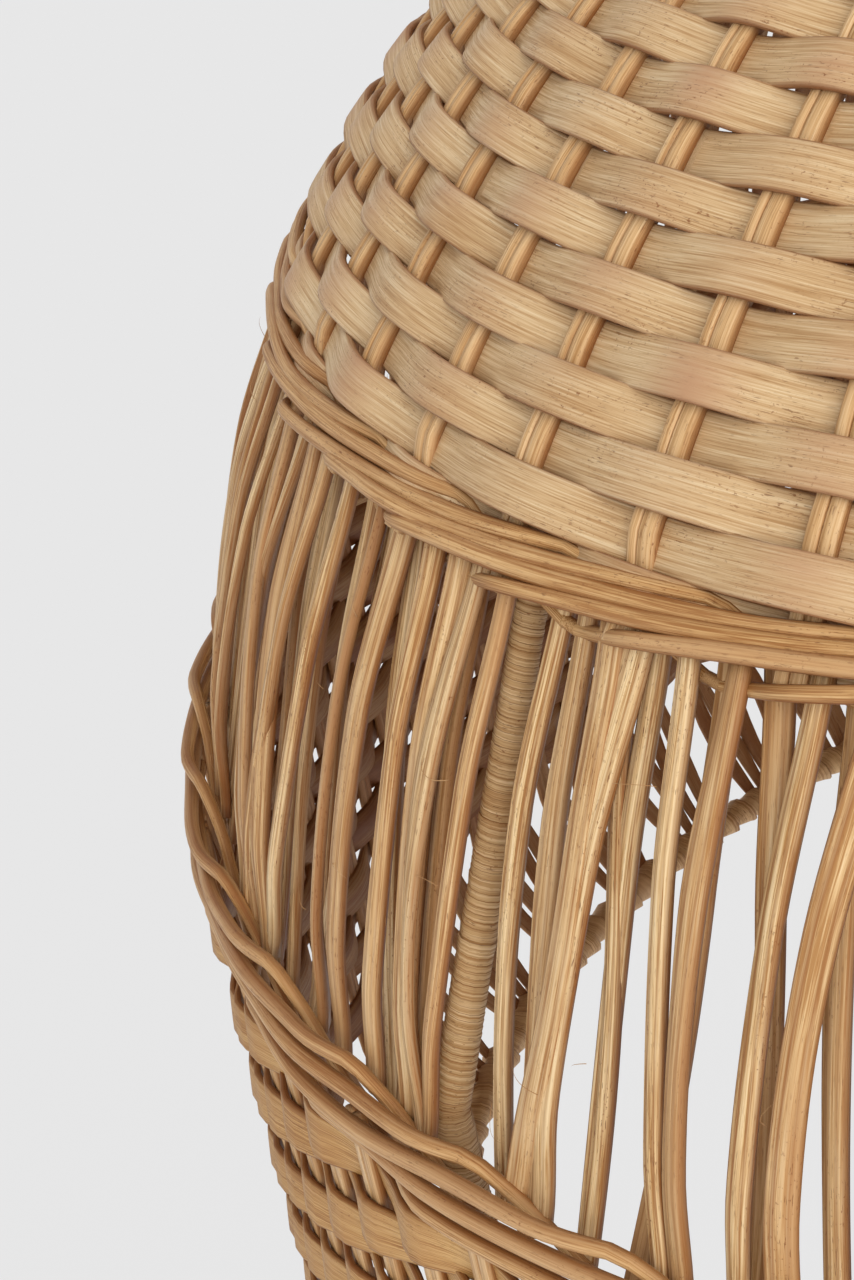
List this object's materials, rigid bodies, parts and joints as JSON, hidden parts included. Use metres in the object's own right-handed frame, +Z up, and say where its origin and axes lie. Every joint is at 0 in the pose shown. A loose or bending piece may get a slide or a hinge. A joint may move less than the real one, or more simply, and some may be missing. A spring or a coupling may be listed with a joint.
{
  "type": "garden torch",
  "caption": "Garden torch with a large woven rattan head on a bamboo pole, lift-out fuel canister, snuffer cap and ground spike.",
  "frame": {"origin": "on the pole's axis, where the spike's shank meets the underside of the step plate, at ground level", "axes": "+Z up along the pole, -Y towards the viewer, +X to the viewer's right"},
  "size_m": [0.3478, 0.3478, 1.6524],
  "materials": {
    "rattan_splint": "satin",
    "rattan_cane": "satin",
    "rattan_core": "satin",
    "raffia": "matte",
    "bamboo": "satin",
    "frame_steel": "satin",
    "copper_metal": "brushed",
    "wick_cotton": "matte",
    "seal_rubber": "matte"
  },
  "bodies": {
    "base": {"ground_spike": "frame_steel", "spike_ferrule": "frame_steel", "lower_pole": "bamboo", "pole_coupler": "frame_steel", "coupler_screws": "frame_steel"},
    "mast": {"upper_pole": "bamboo"},
    "head": {"spider_hub": "frame_steel", "spider_arms": "frame_steel", "bottom_ring": "frame_steel", "frame_ribs": "frame_steel", "rib_wrapping": "raffia", "rim_binding": "rattan_core", "rim_strips": "rattan_cane", "lower_stakes": "rattan_core", "lower_weave": "rattan_splint", "lower_waling": "rattan_core", "lattice_canes_outer": "rattan_cane", "lattice_canes_inner": "rattan_cane", "upper_waling": "rattan_core", "dome_stakes": "rattan_core", "dome_weave": "rattan_splint", "neck_ring": "frame_steel", "neck_binding": "rattan_core"},
    "thumbscrew": {"hub_thumbscrew": "frame_steel"},
    "canister": {"fuel_canister": "copper_metal", "canister_top": "copper_metal", "cap_gasket": "seal_rubber"},
    "burner": {"burner_cap": "copper_metal", "wick_tube": "copper_metal", "hinge_bracket": "copper_metal", "hinge_pin": "frame_steel"},
    "wick": {"wick": "wick_cotton"},
    "snuffer": {"snuffer_cap": "copper_metal", "snuffer_knob": "frame_steel"}
  },
  "joints": [
    {"name": "mast_lift", "type": "slide", "parent": "base", "child": "mast", "axis": [0, 0, 1], "range_m": [0, 0.08]},
    {"name": "head_lift", "type": "slide", "parent": "mast", "child": "head", "axis": [0, 0, 1], "range_m": [0, 0.06]},
    {"name": "thumbscrew_turn", "type": "hinge", "parent": "head", "child": "thumbscrew", "pos_m": [0.03, 0, 1.094], "axis": [1, 0, 0], "continuous": true},
    {"name": "canister_lift", "type": "slide", "parent": "head", "child": "canister", "axis": [0, 0, 1], "range_m": [0, 0.12]},
    {"name": "burner_turn", "type": "hinge", "parent": "canister", "child": "burner", "pos_m": [0, 0, 1.4074], "axis": [0, 0, 1], "range_deg": [0, 360]},
    {"name": "wick_raise", "type": "slide", "parent": "burner", "child": "wick", "axis": [0, 0, 1], "range_m": [0, 0.008]},
    {"name": "snuffer_swing", "type": "hinge", "parent": "burner", "child": "snuffer", "pos_m": [0.027, 0, 1.4278], "axis": [0, 1, 0], "range_deg": [0, 110]}
  ]
}
